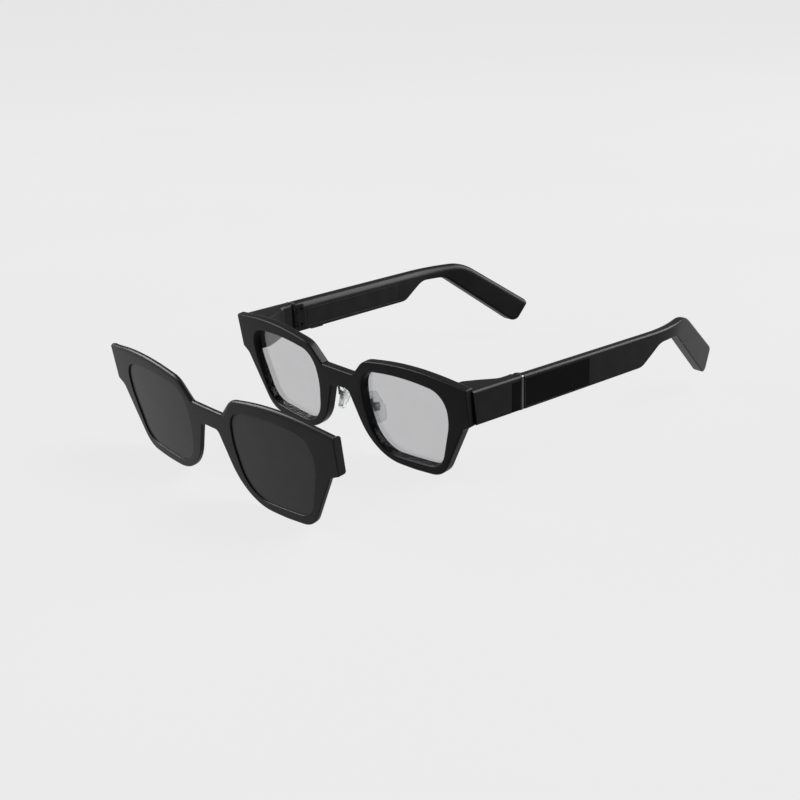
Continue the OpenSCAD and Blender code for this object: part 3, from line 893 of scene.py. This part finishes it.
# The temple's own rounded ends over and under the hinge
BARREL_R = 2.1
BARRELS = (("top", 0.4, KNUCKLES_TOP, 0.35, 0.05), ("low", KNUCKLES_LOW, TEMPLE_H, 0.05, 0.35))


def make_temple(side, s):
    body = side + "_temple"
    m = Mesh(on_temple(s))
    a, b = m.edge(Outline(TEMPLE_SIDE, pitch=2.2), TEMPLE_T, OUTER_EDGE, INNER_EDGE)
    panel = m.pocket(PANEL, 0.0, PANEL_T, lip=PANEL_ROUND)
    cover = m.pocket(COVER, TEMPLE_T, TEMPLE_T - INNER_COVER_T, lip=LIP)
    m.cap(a, [panel], lambda x, y: 0.0)
    m.cap(b, [cover], lambda x, y: TEMPLE_T)
    shell = build(side + "_temple_shell_skin", m, M["temple"], body, side + "_temple_shell")
    at = from_top(s)
    cuts = [cylinder_mesh(at, HINGE_U, HINGE_Y, KNUCKLES_TOP, KNUCKLES_LOW, KNUCKLE_ROOM_R)]
    cuts += [box_mesh(at, *recess) for recess in (HINGE_SWING, HINGE_PLATE, SPEAKER_SLOT)]
    if s < 0:
        cuts.append(box_mesh(at, *BUTTON_SLOT))
    cut(shell, *cuts)
    panel_shape = Outline(PANEL.grown(-PANEL_GAP))
    rounded_box(side + "_touch_pad", on_temple(s), panel_shape, PANEL_T, PANEL_ROUND, PANEL_ROUND,
                M["gloss"], body, side + "_touch_panel")
    cover_shape = Outline(COVER.grown(-GAP))
    plate = rounded_box(side + "_inner_cover", on_temple(s), cover_shape, INNER_COVER_T, 0.05, 0.12,
                        M["temple"], body, side + "_temple_cover", start=TEMPLE_T - INNER_COVER_T)
    if s > 0:
        cut(plate, *[cylinder_mesh(on_temple(s), y, CONTACT_Z, *CONTACT_ENDS, CONTACT_R) for y in CONTACT_Y])
    corners = ((1, 1), (1, -1), (-1, -1), (-1, 1))
    ring = [(HINGE_U + i * BARREL_R, HINGE_Y + j * BARREL_R, BARREL_R - 0.02) for i, j in corners]
    for part, high, low, upper, lower in BARRELS:
        rounded_box(side + "_barrel_" + part, at, Outline(ring), low - high, upper, lower,
                    M["temple"], body, start=high)


for side, s in SIDES:
    make_temple(side, s)

# ---- carried-over CAD parts ----

# Material of each CAD part that stays as it is
LOOKS = {
    "brow_flex": "flex",
    "lens_seals": "seal",
    "front_magnets": "metal",
    "microphones": "metal",
    "light_engine": "cell",
    "front_hinge": "inset",
    "hinge_pin": "metal",
    "nose_arm": "wire",
    "pad_core": "core",
    "nose_pad": "pad",
    "rear_hinge": "inset",
    "hinge_screws": "gloss",
    "circuit_board": "board",
    "battery": "cell",
    "speaker": "cell",
    "speaker_mesh": "dark",
    "function_button": "inset",
    "button_switch": "metal",
    "charge_contacts": "gold",
    "clip_magnets": "metal",
}
for name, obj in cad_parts.items():
    key = name.replace("left_", "").replace("right_", "")
    if key in LOOKS:
        obj.data.materials.clear()
        obj.data.materials.append(M[LOOKS[key]])

# ---- floor, light and camera ----

FLOOR_SIZE = 30.0
FLOOR_GLOW = 0.79
WORLD_GLOW = 0.18

floor_mat, tree, shader, coords = nodes_of("floor")
floor_color = ramp(tree, noise(tree, coords, 3.0), (0.009, 0.009, 0.009), (0.011, 0.011, 0.011))
tree.links.new(floor_color, shader.inputs["Base Color"])
shader.inputs["Roughness"].default_value = 0.9
shader.inputs["Specular IOR Level"].default_value = 0.0
shader.inputs["Emission Color"].default_value = (1.0, 1.0, 1.0, 1)
shader.inputs["Emission Strength"].default_value = FLOOR_GLOW
me = bpy.data.meshes.new("floor")
square = [(-FLOOR_SIZE, -FLOOR_SIZE, 0), (FLOOR_SIZE, -FLOOR_SIZE, 0), (FLOOR_SIZE, FLOOR_SIZE, 0),
          (-FLOOR_SIZE, FLOOR_SIZE, 0)]
me.from_pydata(square, [], [(0, 1, 2, 3)])
me.materials.append(floor_mat)
floor = bpy.data.objects.new("floor", me)
bpy.context.scene.collection.objects.link(floor)

world = bpy.data.worlds.new("studio")
bpy.context.scene.world = world
world.use_nodes = True
world.node_tree.nodes["Background"].inputs["Color"].default_value = (1.0, 1.0, 1.0, 1)
world.node_tree.nodes["Background"].inputs["Strength"].default_value = WORLD_GLOW


def softbox(name, at, towards, size, power):
    """A rectangular light. Its place and size are in metres, and its power in watts."""
    data = bpy.data.lights.new(name, "AREA")
    data.shape = "RECTANGLE"
    data.size, data.size_y = size
    data.energy = power
    o = bpy.data.objects.new(name, data)
    o.location = at
    o.rotation_mode = "QUATERNION"
    o.rotation_quaternion = (Vector(towards) - Vector(at)).to_track_quat("-Z", "Y")
    bpy.context.scene.collection.objects.link(o)


# rear_box is above and behind, and seen in the rounded upper edges. left_box is above and beside the clip-on
MIDDLE = (0, 0, 0.02)
softbox("rear_box", (0.72, 1.10, 1.10), MIDDLE, (1.6, 1.6), 190)
softbox("left_box", (-1.30, -0.95, 0.80), MIDDLE, (1.1, 1.1), 90)
bpy.context.scene.view_settings.view_transform = "Standard"

# The camera looks down by ELEVATION, from AZIMUTH round from the front, and is turned on its axis by ROLL
AZIMUTH = math.radians(49.211)
ELEVATION = math.radians(20.137)
ROLL = math.radians(-1.641)
CAMERA_AT = Vector((382.36, -295.39, 155.66))
FOCAL_LENGTH = 56.95
SENSOR = 36
level = Vector((math.sin(AZIMUTH), -math.cos(AZIMUTH), 0))
back = level * math.cos(ELEVATION) + Vector((0, 0, math.sin(ELEVATION)))
right = Vector((math.cos(AZIMUTH), math.sin(AZIMUTH), 0))
up = back.cross(right)
right, up = (right * math.cos(ROLL) + up * math.sin(ROLL)), (up * math.cos(ROLL) - right * math.sin(ROLL))
camera = bpy.data.cameras.new("camera")
camera.lens = FOCAL_LENGTH
camera.sensor_width = SENSOR
camera.clip_start = 0.01
camera.clip_end = 100
cam = bpy.data.objects.new("camera", camera)
cam.rotation_mode = "QUATERNION"
cam.rotation_quaternion = Matrix((right, up, back)).transposed().to_quaternion()
cam.location = (FACE_ORIGIN + CAMERA_AT) * MM
bpy.context.scene.collection.objects.link(cam)
bpy.context.scene.camera = cam
